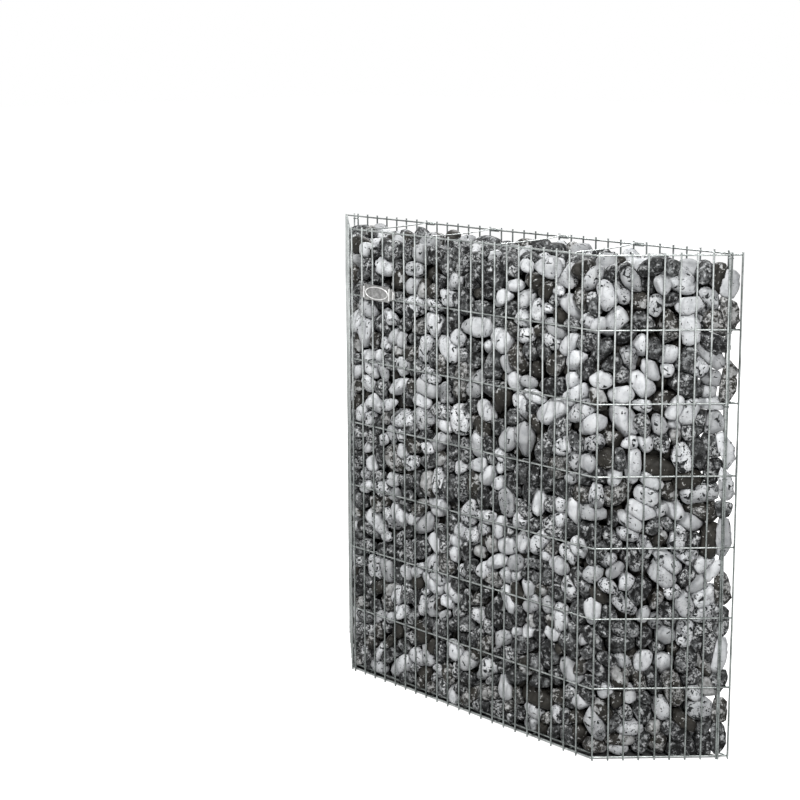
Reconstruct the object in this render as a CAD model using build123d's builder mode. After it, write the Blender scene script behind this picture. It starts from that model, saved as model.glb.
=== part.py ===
"""Mitred gabion wall: welded wire basket, open on top, filled with stones.

Millimetres. +Z is up, +X runs along the wall, the short front faces -Y and the
long back faces +Y. The origin is on the ground, at the middle of the plan.
"""

from build123d import *
from math import atan2, degrees, hypot, sqrt
import os

os.makedirs("parts", exist_ok=True)

# Driving sizes of the basket, on the centre lines of the upright wires
back_length = 1048.0
front_length = 648.0
depth = 192.0
height = 1000.0

# Welded mesh: uprights outside, level wires inside
wire = 3.2
upright_pitch = 30.3
row_count = 8
upright_stub = 4.0

# Where the uprights of each sheet start, from its left corner
front_first_upright = 8.5
back_first_upright = 40.3
corner_strip_width = 28.8
corner_upright_step = 6.5

# Base sheet
base_cross_every_count = 3
base_cross_first_index = 1
base_cross_poke = 2.6
base_rail_count = 5
base_rail_inset = 9.0

# Spacers that tie the front sheet to the back sheet
spacer_wire = 2.4
spacer_first_index = 1
spacer_every_count = 6
spacer_lead_count = 6
upper_spacer_row_index = 5
lower_spacer_row_index = 2
coil_sides = 10
hook_leg = 9.0
hook_bend = 1.6
coil_length = 22.0

# Rings that close the two sheet joints, one below each level wire
ring_wire = 2.0
ring_drop = 7.0

# Blank plate on the front sheet: an oval rim between two end ribs, flanges that clip on
plate_length = 76.0
plate_height = 33.0
plate_thickness = 1.6
plate_corner = 4.0
oval_length = 66.0
oval_height = 28.0
rim_width = 2.2
rim_rise = 1.4
rib_width = 3.0
rib_rise = 2.0
rib_round = 0.9
flange_height = 24.0
plate_row_index = 6
plate_above_row = 11.0
plate_first_index = 1
plate_span_count = 3
clip_wall = 1.6
clip_height = 17.0

# Stone fill
fill_drop = 30.0
corner_blunt = 30.0
mound_heights = (16.0, 12.0, 20.0, 10.0, 16.0, 22.0, 20.0, 14.0)
mound_radius = 56.0
mound_setback = 30.0
mound_sides = 7
mound_taper = 48.0

# Small gap between pieces that lie against each other
seat = 0.2

# Worked out from the sizes above
mitre_run = (back_length - front_length) / 2
mitre_length = hypot(mitre_run, depth)
end_angle = degrees(atan2(depth, mitre_run))
rail_outer = wire / 2
rail_inner = rail_outer + wire
rail_middle = rail_outer + wire / 2
bottom_row = upright_stub + wire / 2
top_row = height - upright_stub - wire / 2
row_pitch = (top_row - bottom_row) / (row_count - 1)
rows = [bottom_row + row_pitch * i for i in range(row_count)]
row_planes = [Plane.XY.offset(row - wire / 2) for row in rows]


def end_x(y, inset):
    """X of the right-hand mitred end at this y, moved inwards by inset."""
    reach = mitre_run * (y + depth / 2) / depth
    return front_length / 2 + reach - inset * mitre_length / depth


def front_corner(side, inset):
    """Front corner of the plan, moved inwards. Side is -1 at the left, 1 at the right."""
    y = -depth / 2 + inset
    return (side * end_x(y, inset), y)


def back_corner(side, inset):
    """Back corner of the plan, moved inwards."""
    y = depth / 2 - inset
    return (side * end_x(y, inset), y)


def on_end(side, distance, inset):
    """Point on a mitred end, a distance along the sheet from its back corner."""
    along_x = mitre_run / mitre_length
    along_y = depth / mitre_length
    x = back_length / 2 - distance * along_x - inset * along_y
    y = depth / 2 - distance * along_y + inset * along_x
    return (side * x, y)


def on_back(x, inset):
    """Point on the back sheet."""
    return (x, depth / 2 - inset)


# Upright places along each side
front_count = int((front_length - front_first_upright) // upright_pitch)
back_count = int((back_length - back_first_upright) // upright_pitch) + 1
end_count = int(mitre_length // upright_pitch)
front_xs = [-front_length / 2 + front_first_upright + upright_pitch * i for i in range(front_count)]
back_xs = [-back_length / 2 + back_first_upright + upright_pitch * i for i in range(back_count)]
end_steps = [upright_pitch * (i + 1) for i in range(end_count)]
right_strip_step = upright_pitch - wire - seat
left_strip_x = -back_length / 2 + corner_strip_width


# Front sheet, whose level wires turn at both front corners
with BuildPart() as front_mesh:
    with BuildSketch():
        with Locations(*[(x, -depth / 2) for x in front_xs]):
            Rectangle(wire, wire)
    extrude(amount=height)
    with BuildSketch(*row_planes):
        with BuildLine():
            Polyline(
                front_corner(-1, rail_outer),
                front_corner(1, rail_outer),
                front_corner(1, rail_inner),
                front_corner(-1, rail_inner),
                close=True,
            )
        make_face()
    extrude(amount=wire)
front_mesh.part.label = "front_mesh"
export_step(front_mesh.part, "parts/front_mesh.step")


# Back sheet: it starts beside the left strip and turns the right-hand back corner
with BuildPart() as back_mesh:
    with BuildSketch():
        with Locations(*[(x, depth / 2) for x in back_xs]):
            Rectangle(wire, wire)
    extrude(amount=height)
    with BuildSketch(*row_planes):
        with BuildLine():
            Polyline(
                on_back(back_xs[0] - wire / 2, rail_outer),
                back_corner(1, rail_outer),
                back_corner(1, rail_inner),
                on_back(back_xs[0] - wire / 2, rail_inner),
                close=True,
            )
        make_face()
    extrude(amount=wire)
back_mesh.part.label = "back_mesh"
export_step(back_mesh.part, "parts/back_mesh.step")


# Mitred ends, which carry on from the front sheet's level wires
for side, name in ((-1, "left_end_mesh"), (1, "right_end_mesh")):
    # The left end runs right up to its back corner, the right end stops one mesh short
    rail_start = 0 if side < 0 else end_steps[0] - wire / 2
    with BuildPart() as end_mesh:
        with BuildSketch():
            with Locations(*[on_end(side, step, 0) for step in end_steps]):
                Rectangle(wire, wire, rotation=side * end_angle)
        extrude(amount=height)
        with BuildSketch(*row_planes):
            with BuildLine():
                Polyline(
                    front_corner(side, rail_outer),
                    back_corner(side, rail_outer) if side < 0 else on_end(side, rail_start, rail_outer),
                    back_corner(side, rail_inner) if side < 0 else on_end(side, rail_start, rail_inner),
                    front_corner(side, rail_inner),
                    close=True,
                )
            make_face()
        extrude(amount=wire)
    end_mesh.part.label = name
    export_step(end_mesh.part, f"parts/{name}.step")


# Left corner strip: the left end's wires, turned one mesh onto the back
with BuildPart() as left_corner_strip:
    with BuildSketch():
        with Locations(on_back(left_strip_x, 0)):
            Rectangle(wire, wire)
    extrude(amount=height)
    with BuildSketch(*row_planes):
        with BuildLine():
            Polyline(
                back_corner(-1, rail_outer),
                on_back(back_xs[0] - wire / 2 - seat, rail_outer),
                on_back(back_xs[0] - wire / 2 - seat, rail_inner),
                back_corner(-1, rail_inner),
                close=True,
            )
        make_face()
    extrude(amount=wire)
left_corner_strip.part.label = "left_corner_strip"
export_step(left_corner_strip.part, "parts/left_corner_strip.step")


# Right corner strip: the back sheet's wires, turned one mesh onto the right end
with BuildPart() as right_corner_strip:
    with BuildSketch():
        with Locations(on_end(1, corner_upright_step, 0), on_end(1, right_strip_step, 0)):
            Rectangle(wire, wire, rotation=end_angle)
    extrude(amount=height)
    with BuildSketch(*row_planes):
        with BuildLine():
            Polyline(
                back_corner(1, rail_outer),
                on_end(1, right_strip_step + wire / 2, rail_outer),
                on_end(1, right_strip_step + wire / 2, rail_inner),
                back_corner(1, rail_inner),
                close=True,
            )
        make_face()
    extrude(amount=wire)
right_corner_strip.part.label = "right_corner_strip"
export_step(right_corner_strip.part, "parts/right_corner_strip.step")


def joint_rings(middle, turn, reach):
    """Flat rings round two uprights, reach apart, one below each level wire."""
    outer = (reach + wire + 2 * (seat + ring_wire), wire + 2 * (seat + ring_wire))
    inner = (reach + wire + 2 * seat, wire + 2 * seat)
    with BuildPart() as rings:
        with BuildSketch(*[Plane.XY.offset(row - ring_drop) for row in rows[1:]]):
            with Locations(Location(middle, turn)):
                Rectangle(*outer)
                Rectangle(*inner, mode=Mode.SUBTRACT)
        extrude(amount=ring_wire)
    return rings


# Closing rings of the left joint, round the strip's upright and the back's first one
left_ring_reach = back_xs[0] - left_strip_x
left_joint_rings = joint_rings((left_strip_x + left_ring_reach / 2, depth / 2), 0, left_ring_reach)
left_joint_rings.part.label = "left_joint_rings"
export_step(left_joint_rings.part, "parts/left_joint_rings.step")


# Closing rings of the right joint, round the doubled uprights
right_ring_reach = end_steps[0] - right_strip_step
right_ring_middle = on_end(1, right_strip_step + right_ring_reach / 2, 0)
right_joint_rings = joint_rings(right_ring_middle, end_angle, right_ring_reach)
right_joint_rings.part.label = "right_joint_rings"
export_step(right_joint_rings.part, "parts/right_joint_rings.step")


# Base sheet: cross wires lie on the bottom level wires, rails lie on the cross wires
base_cross_floor = bottom_row + wire / 2
base_rail_floor = base_cross_floor + wire
base_cross_pitch = upright_pitch * base_cross_every_count
base_cross_start = front_xs[base_cross_first_index] + upright_pitch / 2
base_cross_limit = end_x(depth / 2 - base_rail_inset - wire, wire + seat)
crosses_left = int((base_cross_limit + base_cross_start) // base_cross_pitch)
crosses_right = int((base_cross_limit - base_cross_start) // base_cross_pitch)
base_cross_xs = [base_cross_start + base_cross_pitch * i for i in range(-crosses_left, crosses_right + 1)]
cross_back = depth / 2 - wire / 2 - seat
rail_pitch = (depth - 2 * base_rail_inset) / (base_rail_count - 1)


def cross_front(x):
    """Front end of a base cross wire: past the front sheet, or short of a mitred end."""
    if abs(x) < front_length / 2 - upright_pitch / 2:
        return -depth / 2 - wire / 2 - base_cross_poke
    stop = (abs(x) - front_length / 2) * depth / mitre_run - depth / 2
    return stop + (wire + seat) * mitre_length / mitre_run


with BuildPart() as base_mesh:
    for x in base_cross_xs:
        length = cross_back - cross_front(x)
        with BuildSketch(Plane.XY.offset(base_cross_floor)):
            with Locations((x, cross_back - length / 2)):
                Rectangle(wire, length)
        extrude(amount=wire)
    for i in range(base_rail_count):
        y = -depth / 2 + base_rail_inset + rail_pitch * i
        with BuildSketch(Plane.XY.offset(base_rail_floor)):
            with Locations((0, y)):
                Rectangle(2 * end_x(y, rail_inner + wire), wire)
        extrude(amount=wire)
base_mesh.part.label = "base_mesh"
export_step(base_mesh.part, "parts/base_mesh.step")


# Spacers: a hook over the front sheet's level wire, a straight run, a coil on the back's
coil_bore = wire / sqrt(2) + seat
lift = wire / 2 + seat + spacer_wire / 2
spacer_gaps = range(spacer_first_index, front_count - 1, spacer_every_count)
spacer_lead = back_xs[spacer_first_index + spacer_lead_count] - front_xs[spacer_first_index]
reach_y = depth - 2 * rail_middle
span = hypot(spacer_lead, reach_y)
run_x = spacer_lead / span
run_y = reach_y / span


def spacer_plane(gap):
    """Upright plane along a spacer: its X runs from the front sheet to the back sheet."""
    start = front_xs[gap] + upright_pitch / 2
    x_dir = Vector(run_x, run_y, 0)
    return Plane(origin=(start, -depth / 2 + rail_middle, 0), x_dir=x_dir, z_dir=x_dir.cross(Vector(0, 0, 1)))


spacer_rows = {
    "top": top_row,
    "upper": rows[upper_spacer_row_index],
    "lower": rows[lower_spacer_row_index],
}
for level, row in spacer_rows.items():
    for number, gap in enumerate(spacer_gaps, start=1):
        name = f"{level}_spacer_{number}"
        run_height = row + lift
        plane = spacer_plane(gap)
        coil_middle = plane.from_local_coords((span, row, 0))
        with BuildPart() as spacer:
            with BuildSketch(plane):
                with BuildLine():
                    FilletPolyline(
                        (-lift, run_height - hook_leg),
                        (-lift, run_height),
                        (span, run_height),
                        radius=hook_bend,
                    )
                trace(line_width=spacer_wire)
            extrude(amount=spacer_wire / 2, both=True)
            with BuildSketch(Plane.YZ.offset(coil_middle.X - coil_length / 2)):
                with Locations((coil_middle.Y, coil_middle.Z)):
                    RegularPolygon(coil_bore + spacer_wire, coil_sides)
            extrude(amount=coil_length)
            with BuildSketch(Plane.YZ.offset(coil_middle.X - coil_length / 2)):
                with Locations((coil_middle.Y, coil_middle.Z)):
                    RegularPolygon(coil_bore, coil_sides, major_radius=False)
            extrude(amount=coil_length, mode=Mode.SUBTRACT)
        spacer.part.label = name
        export_step(spacer.part, f"parts/{name}.step")


# Plate: a pressed sheet with flanges out to two uprights, end ribs and an oval rim, face left bare
plate_middle = front_xs[plate_first_index] + upright_pitch * plate_span_count / 2
plate_level = rows[plate_row_index] + plate_above_row
plate_back = -depth / 2 - wire / 2 - seat
flange_length = upright_pitch * plate_span_count + wire + 2 * (seat + clip_wall)
plate_face = Plane.XZ.offset(-plate_back + plate_thickness)
with BuildPart() as name_plate:
    with BuildSketch(Plane.XZ.offset(-plate_back)):
        with Locations((plate_middle, plate_level)):
            RectangleRounded(plate_length, plate_height, plate_corner)
            Rectangle(flange_length, flange_height)
    extrude(amount=plate_thickness)
    with BuildSketch(plate_face):
        with Locations((plate_middle, plate_level)):
            Ellipse(oval_length / 2, oval_height / 2)
            Ellipse(oval_length / 2 - rim_width, oval_height / 2 - rim_width, mode=Mode.SUBTRACT)
    extrude(amount=rim_rise)
    with BuildSketch(plate_face):
        with Locations((plate_middle, plate_level)):
            with GridLocations(plate_length - rib_width, 0, 2, 1):
                Rectangle(rib_width, plate_height - 2 * plate_corner)
    extrude(amount=rib_rise)
    rib_edges = name_plate.edges().filter_by(Axis.Z).group_by(Axis.Y)[0]
    fillet(rib_edges, radius=rib_round)
name_plate.part.label = "name_plate"
export_step(name_plate.part, "parts/name_plate.step")


# Plate clips: an open jaw behind each tab, round its upright
clip_xs = [front_xs[plate_first_index], front_xs[plate_first_index + plate_span_count]]
with BuildPart() as plate_clips:
    with BuildSketch(Plane.XY.offset(plate_level - clip_height / 2)):
        for x in clip_xs:
            with Locations((x, plate_back + seat)):
                Rectangle(wire + 2 * (seat + clip_wall), wire, align=(Align.CENTER, Align.MIN))
                Rectangle(wire + 2 * seat, wire, align=(Align.CENTER, Align.MIN), mode=Mode.SUBTRACT)
    extrude(amount=clip_height)
plate_clips.part.label = "plate_clips"
export_step(plate_clips.part, "parts/plate_clips.step")


# Stone fill: one mass inside the mesh, thin at the sharp corners, heaped on top
fill_inset = rail_middle + coil_bore + spacer_wire + seat
fill_floor = base_rail_floor + wire + seat
fill_top = height - fill_drop
channel = spacer_wire + 2 * seat
blunt_left = [on_end(-1, corner_blunt, fill_inset), on_back(-back_length / 2 + corner_blunt, fill_inset)]
blunt_right = [on_back(back_length / 2 - corner_blunt, fill_inset), on_end(1, corner_blunt, fill_inset)]
mound_pitch = (front_length + mitre_run) / len(mound_heights)
mound_start = -mound_pitch * (len(mound_heights) - 1) / 2
with BuildPart() as stone_fill:
    with BuildSketch(Plane.XY.offset(fill_floor)) as fill_outline:
        with BuildLine():
            Polyline(
                front_corner(-1, fill_inset),
                front_corner(1, fill_inset),
                *reversed(blunt_right),
                *reversed(blunt_left),
                close=True,
            )
        make_face()
    extrude(amount=fill_top - fill_floor)
    for i, mound in enumerate(mound_heights):
        with BuildSketch(Plane.XY.offset(fill_top)):
            with Locations((mound_start + mound_pitch * i, mound_setback)):
                RegularPolygon(mound_radius, mound_sides, rotation=mound * mound_sides)
        extrude(amount=mound, taper=mound_taper)
    extrude(fill_outline.sketch, amount=height, mode=Mode.INTERSECT)
    for row in (spacer_rows["upper"], spacer_rows["lower"]):
        for gap in spacer_gaps:
            with BuildSketch(spacer_plane(gap)):
                with Locations((span / 2, row + lift)):
                    Rectangle(2 * span, channel)
            extrude(amount=channel / 2, both=True, mode=Mode.SUBTRACT)
stone_fill.part.label = "stone_fill"
export_step(stone_fill.part, "parts/stone_fill.step")
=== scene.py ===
"""Mitred gabion wall, dressed.

Round welded wires, wound spacers, closing rings, a bare oval plate and a fill
of tumbled stones. Metres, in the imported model's frame: +Z is up, +X runs along
the wall, the short front faces -Y and the long back faces +Y.
"""

import logging
import math
from dataclasses import dataclass
from enum import Enum
from typing import Dict, List, Sequence, Tuple, Union

import bmesh
import bpy
import numpy as np
from mathutils import Matrix, Vector


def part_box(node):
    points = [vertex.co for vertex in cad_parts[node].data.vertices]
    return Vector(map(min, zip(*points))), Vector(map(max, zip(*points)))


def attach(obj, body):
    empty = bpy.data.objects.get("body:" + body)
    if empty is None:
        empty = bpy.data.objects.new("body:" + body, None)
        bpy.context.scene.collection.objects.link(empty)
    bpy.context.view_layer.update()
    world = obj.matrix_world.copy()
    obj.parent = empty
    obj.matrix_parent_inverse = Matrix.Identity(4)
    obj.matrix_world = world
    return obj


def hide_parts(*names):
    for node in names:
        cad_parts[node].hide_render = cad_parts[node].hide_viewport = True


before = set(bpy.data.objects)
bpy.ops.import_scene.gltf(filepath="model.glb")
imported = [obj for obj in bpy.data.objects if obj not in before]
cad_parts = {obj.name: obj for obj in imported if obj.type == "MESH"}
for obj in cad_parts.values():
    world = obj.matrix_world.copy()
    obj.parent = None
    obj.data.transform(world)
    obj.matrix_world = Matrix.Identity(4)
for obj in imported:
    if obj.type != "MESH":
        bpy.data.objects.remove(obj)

Point = Tuple[float, float, float]
Spot = Tuple[float, float]
Colour = Tuple[float, float, float]
Material = bpy.types.Material
Socket = bpy.types.NodeSocket
Feed = Union[Socket, float, Colour]
Inputs = Dict[Union[str, int], Feed]

LOG = logging.getLogger("gabion")
BODY = "root"
UP = Vector((0.0, 0.0, 1.0))
WHITE = (1.0, 1.0, 1.0)
CREASE = math.radians(50)


class StoneKind(Enum):
    """The kinds of stone in the fill."""

    PALE = "pale"
    MOTTLED = "mottled"
    DARK = "dark"


# Shaders


def grey(value: float) -> Colour:
    """A grey of this lightness."""
    return (value,) * 3


class Nodes:
    """A node tree under construction, with short calls for the nodes it needs."""

    def __init__(self, tree: bpy.types.NodeTree) -> None:
        """Work on this tree."""
        self.tree = tree

    def feed(self, node: bpy.types.Node, inputs: Inputs) -> None:
        """Feed a node's inputs.

        Args:
            node: The node.
            inputs: An output, a number or a colour for each input, by its name or number.
        """
        for key, value in inputs.items():
            target = node.inputs[key]
            if isinstance(value, Socket):
                self.tree.links.new(value, target)
            elif isinstance(value, tuple):
                target.default_value = (*value, 1.0)[:len(target.default_value)]
            else:
                target.default_value = value

    def add(self, kind: str, inputs: Inputs, **settings: object) -> bpy.types.Node:
        """Add a node.

        Args:
            kind: Blender's type name of the node.
            inputs: What feeds its inputs.
            **settings: Properties to set on it.

        Returns:
            The new node.
        """
        node = self.tree.nodes.new(kind)
        for key, value in settings.items():
            setattr(node, key, value)
        self.feed(node, inputs)
        return node

    def maths(self, operation: str, first: Feed, second: Feed = 0.0) -> Socket:
        """Work out a value from one or two others."""
        return self.add("ShaderNodeMath", {0: first, 1: second}, operation=operation).outputs["Value"]

    def scaled(self, source: Socket, factor: float, offset: Feed) -> Socket:
        """Multiply a value by a factor and add an offset."""
        return self.maths("ADD", self.maths("MULTIPLY", source, factor), offset)

    def shown(self) -> Socket:
        """Tell the rays that the camera sees by.

        Returns:
            1 for rays that come straight from the camera, off a mirror or through a surface, else 0.
        """
        rays = self.add("ShaderNodeLightPath", {}).outputs
        straight = self.maths("MAXIMUM", rays["Is Camera Ray"], rays["Is Glossy Ray"])
        return self.maths("MAXIMUM", straight, rays["Is Transmission Ray"])


class Shader(Nodes):
    """A material under construction."""

    def __init__(self, name: str) -> None:
        """Start a material with a Principled shader on its output.

        Args:
            name: The material's name.
        """
        self.material = bpy.data.materials.new(name)
        self.material.use_nodes = True
        super().__init__(self.material.node_tree)
        self.surface = self.tree.nodes["Principled BSDF"]

    def coat(self, inputs: Inputs) -> None:
        """Feed the surface's inputs."""
        self.feed(self.surface, inputs)

    def place(self) -> Socket:
        """Give the Object coordinates."""
        return self.add("ShaderNodeTexCoord", {}).outputs["Object"]

    def noise(self, place: Socket, scale: float, detail: float, rough: float, stir: float = 0.0) -> Socket:
        """Add a noise texture.

        Args:
            place: The coordinates it reads.
            scale: Features per metre.
            detail: Octaves.
            rough: Weight of the finer octaves.
            stir: How far the pattern is stirred.

        Returns:
            The noise, from 0 to 1.
        """
        grain = {"Scale": scale, "Detail": detail, "Roughness": rough, "Distortion": stir}
        return self.add("ShaderNodeTexNoise", {"Vector": place, **grain}).outputs["Fac"]

    def ramp(self, factor: Socket, stops: Sequence[Tuple[float, Colour]]) -> Socket:
        """Add a colour ramp.

        Args:
            factor: What it reads.
            stops: Place and colour of each stop.

        Returns:
            The ramp's colour.
        """
        node = self.add("ShaderNodeValToRGB", {"Fac": factor})
        elements = node.color_ramp.elements
        while len(elements) < len(stops):
            elements.new(0.5)
        for element, (spot, colour) in zip(elements, stops):
            element.position = spot
            element.color = (*colour, 1.0)
        return node.outputs["Color"]

    def step(self, factor: Socket, low: float, high: float) -> Socket:
        """Map a factor from 0 at low to 1 at high, smoothly and clamped."""
        span = {"Value": factor, "From Min": low, "From Max": high}
        return self.add("ShaderNodeMapRange", span, interpolation_type="SMOOTHSTEP").outputs["Result"]

    def blend(self, factor: Feed, first: Feed, second: Feed, mode: str = "MIX") -> Socket:
        """Mix two colours; the factor is the second one's share."""
        inputs = {"Factor": factor, 6: first, 7: second}
        return self.add("ShaderNodeMix", inputs, data_type="RGBA", blend_type=mode).outputs[2]

    def bump(self, height: Socket, strength: float, depth: float) -> None:
        """Press a height pattern into the surface, to a depth in metres."""
        node = self.add("ShaderNodeBump", {"Height": height, "Strength": strength, "Distance": depth})
        self.coat({"Normal": node.outputs["Normal"]})


@dataclass(frozen=True)
class GalvanisedFinish:
    """Zinc-coated steel wire with spangle, with a painted reflection: darker low down, brighter towards the
    top.
    """

    name: str
    light: Colour = (0.245, 0.264, 0.258)
    dull: Colour = (0.078, 0.088, 0.084)
    # Painted sky reflection: the colours near the top, blended in between the two fade heights below.
    sky_reflection_light: Colour = (0.61, 0.64, 0.63)
    sky_reflection_dull: Colour = (0.25, 0.27, 0.265)
    dull_spot: float = 0.36
    light_spot: float = 0.6
    reflection_fade_low: float = 0.50
    reflection_fade_high: float = 0.86
    spangle_share: float = 0.3
    metal: float = 0.85
    roughness: float = 0.30
    roughness_swing: float = 0.22

    def build(self) -> Material:
        """Make the material.

        Returns:
            The material.
        """
        shader = Shader(self.name)
        place = shader.place()
        patches = shader.noise(place, scale=34.0, detail=4.0, rough=0.6)
        spangle = shader.noise(place, scale=420.0, detail=2.0, rough=0.5)
        fine = shader.maths("MULTIPLY", spangle, self.spangle_share)
        mix = shader.scaled(patches, 1.0 - self.spangle_share, fine)
        low = shader.ramp(mix, [(self.dull_spot, self.dull), (self.light_spot, self.light)])
        # Painted reflection: the colour rises with height from the low ramp to the top ramp.
        high = shader.ramp(mix, [(self.dull_spot, self.sky_reflection_dull), (self.light_spot, self.sky_reflection_light)])
        height = shader.add("ShaderNodeSeparateXYZ", {"Vector": place}).outputs["Z"]
        rise = shader.step(height, self.reflection_fade_low, self.reflection_fade_high)
        rough = shader.scaled(spangle, self.roughness_swing, self.roughness - self.roughness_swing / 2)
        colour = shader.blend(rise, low, high)
        shader.coat({"Base Color": colour, "Metallic": self.metal, "Roughness": rough})
        shader.bump(spangle, strength=0.25, depth=0.0003)
        return shader.material


@dataclass(frozen=True)
class PlateFinish:
    """Cast light metal, bright where it is worn and stained where it isn't."""

    name: str
    clean: Colour
    stained: Colour
    metal: float = 0.75
    roughness: float = 0.34
    roughness_swing: float = 0.24

    def build(self) -> Material:
        """Make the material.

        Returns:
            The material.
        """
        shader = Shader(self.name)
        place = shader.place()
        grain = shader.noise(place, scale=900.0, detail=3.0, rough=0.6)
        stain = shader.noise(place, scale=110.0, detail=4.0, rough=0.6)
        colour = shader.ramp(stain, [(0.36, self.stained), (0.62, self.clean)])
        rough = shader.scaled(grain, self.roughness_swing, self.roughness - self.roughness_swing / 2)
        shader.coat({"Base Color": colour, "Metallic": self.metal, "Roughness": rough})
        shader.bump(grain, strength=0.35, depth=0.0002)
        return shader.material


@dataclass(frozen=True)
class StoneFinish:
    """One kind of tumbled stone, with its own grain, pits and blotches."""

    kind: StoneKind
    shift: float = 9.0
    mark_edge: float = 0.025
    gloss: float = 0.14
    relief_strength: float = 0.55

    def start(self) -> Tuple[Shader, Socket, Socket, Socket]:
        """Start the material.

        Returns:
            The shader, coordinates that differ from stone to stone, and two values from 0 to 1 that
            each stone has of its own: how marked it is, and how light it is.
        """
        shader = Shader(f"{self.kind.value}_stone")
        source = {"attribute_name": "stone", "attribute_type": "GEOMETRY"}
        own = shader.add("ShaderNodeAttribute", {}, **source).outputs
        moved = {0: own["Color"], 1: grey(self.shift), 2: shader.place()}
        place = shader.add("ShaderNodeVectorMath", moved, operation="MULTIPLY_ADD").outputs["Vector"]
        light = shader.add("ShaderNodeSeparateColor", {"Color": own["Color"]}).outputs["Red"]
        return shader, place, own["Alpha"], light

    def marks(
        self,
        shader: Shader,
        place: Socket,
        tone: Socket,
        scale: float,
        level: float,
        swing: float,
        stir: float,
    ) -> Socket:
        """Scatter irregular marks, the peaks of a stirred noise.

        Args:
            shader: The material.
            place: Its coordinates.
            tone: How marked the stone is.
            scale: Features per metre.
            level: How high a peak has to be to make a mark.
            swing: How much a full tone lowers that level.
            stir: How far the noise is stirred.

        Returns:
            1 inside a mark, 0 elsewhere.
        """
        grain = shader.noise(place, scale, detail=2.5, rough=0.6, stir=stir)
        return shader.step(shader.scaled(tone, swing, grain), level, level + self.mark_edge)

    def build(self) -> Material:
        """Make the material of this kind."""
        makers = {StoneKind.PALE: self.pale, StoneKind.MOTTLED: self.mottled, StoneKind.DARK: self.dark}
        return makers[self.kind]()

    def finish(
        self, shader: Shader, colour: Socket, relief: Socket, rough: float, depth: float
    ) -> Material:
        """Feed colour, roughness and bump to the surface.

        Args:
            shader: The material.
            colour: The base colour.
            relief: The relief pattern.
            rough: The roughness.
            depth: The relief's depth in metres.

        Returns:
            The finished material.
        """
        shader.coat({"Base Color": colour, "Roughness": rough, "Specular IOR Level": self.gloss})
        shader.bump(relief, self.relief_strength, depth)
        return shader.material

    def pale(self) -> Material:
        """Light grey stone with black pits, some stones with many and some with few.

        Returns:
            The material.
        """
        shader, place, tone, light = self.start()
        cloud = shader.noise(place, scale=58.0, detail=5.0, rough=0.62)
        ground = shader.ramp(
            cloud, [(0.30, (0.40, 0.412, 0.425)), (0.50, (0.565, 0.577, 0.59)), (0.66, (0.62, 0.63, 0.64))]
        )
        strength = shader.ramp(light, [(0.0, grey(0.52)), (0.4, grey(0.88)), (1.0, WHITE)])
        shaded = shader.blend(1.0, ground, strength, "MULTIPLY")
        shade = shader.step(shader.noise(place, scale=26.0, detail=4.0, rough=0.6), 0.54, 0.60)
        greyed = shader.maths("MULTIPLY", shade, shader.step(tone, 0.40, 0.80))
        clouded = shader.blend(greyed, shaded, (0.20, 0.205, 0.21))
        pits = self.marks(shader, place, tone, scale=104.0, level=0.682, swing=0.11, stir=0.6)
        blots = self.marks(shader, place, tone, scale=52.0, level=0.705, swing=0.11, stir=1.1)
        specks = self.marks(shader, place, tone, scale=290.0, level=0.715, swing=0.12, stir=0.3)
        marks = shader.maths("MAXIMUM", shader.maths("MAXIMUM", pits, blots), specks)
        colour = shader.blend(marks, clouded, (0.020, 0.021, 0.022))
        fine = shader.noise(place, scale=380.0, detail=3.0, rough=0.6)
        relief = shader.maths("SUBTRACT", shader.maths("MULTIPLY", fine, 0.35), marks)
        return self.finish(shader, colour, relief, rough=0.82, depth=0.0013)

    def mottled(self) -> Material:
        """Stone broken up into black, grey and white shards and grains, in patches.

        Returns:
            The material.
        """
        shader, place, tone, light = self.start()
        grains = shader.noise(place, scale=84.0, detail=9.0, rough=0.80)
        broken = shader.ramp(
            grains,
            [
                (0.45, grey(0.010)),
                (0.50, (0.031, 0.032, 0.033)),
                (0.535, (0.11, 0.113, 0.116)),
                (0.56, (0.30, 0.306, 0.31)),
                (0.60, (0.58, 0.59, 0.595)),
            ],
        )
        plain = shader.ramp(
            shader.noise(place, scale=62.0, detail=7.0, rough=0.72),
            [(0.41, (0.020, 0.021, 0.021)), (0.51, (0.074, 0.076, 0.077)), (0.62, (0.28, 0.29, 0.294))],
        )
        speckled = shader.ramp(
            shader.noise(place, scale=200.0, detail=5.0, rough=0.70),
            [(0.44, (0.02, 0.02, 0.021)), (0.49, (0.12, 0.123, 0.126)), (0.55, (0.50, 0.51, 0.515))],
        )
        patch = shader.scaled(tone, 0.30, shader.noise(place, scale=25.0, detail=4.0, rough=0.6))
        mixed = shader.blend(shader.step(patch, 0.63, 0.67), broken, plain)
        colour = shader.blend(shader.step(patch, 0.73, 0.77), mixed, speckled)
        strength = shader.ramp(light, [(0.0, grey(0.55)), (1.0, WHITE)])
        shaded = shader.blend(1.0, colour, strength, "MULTIPLY")
        pits = self.marks(shader, place, tone, scale=130.0, level=0.70, swing=0.08, stir=0.9)
        marked = shader.blend(pits, shaded, grey(0.013))
        relief = shader.maths("SUBTRACT", grains, pits)
        return self.finish(shader, marked, relief, rough=0.82, depth=0.0014)

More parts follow.
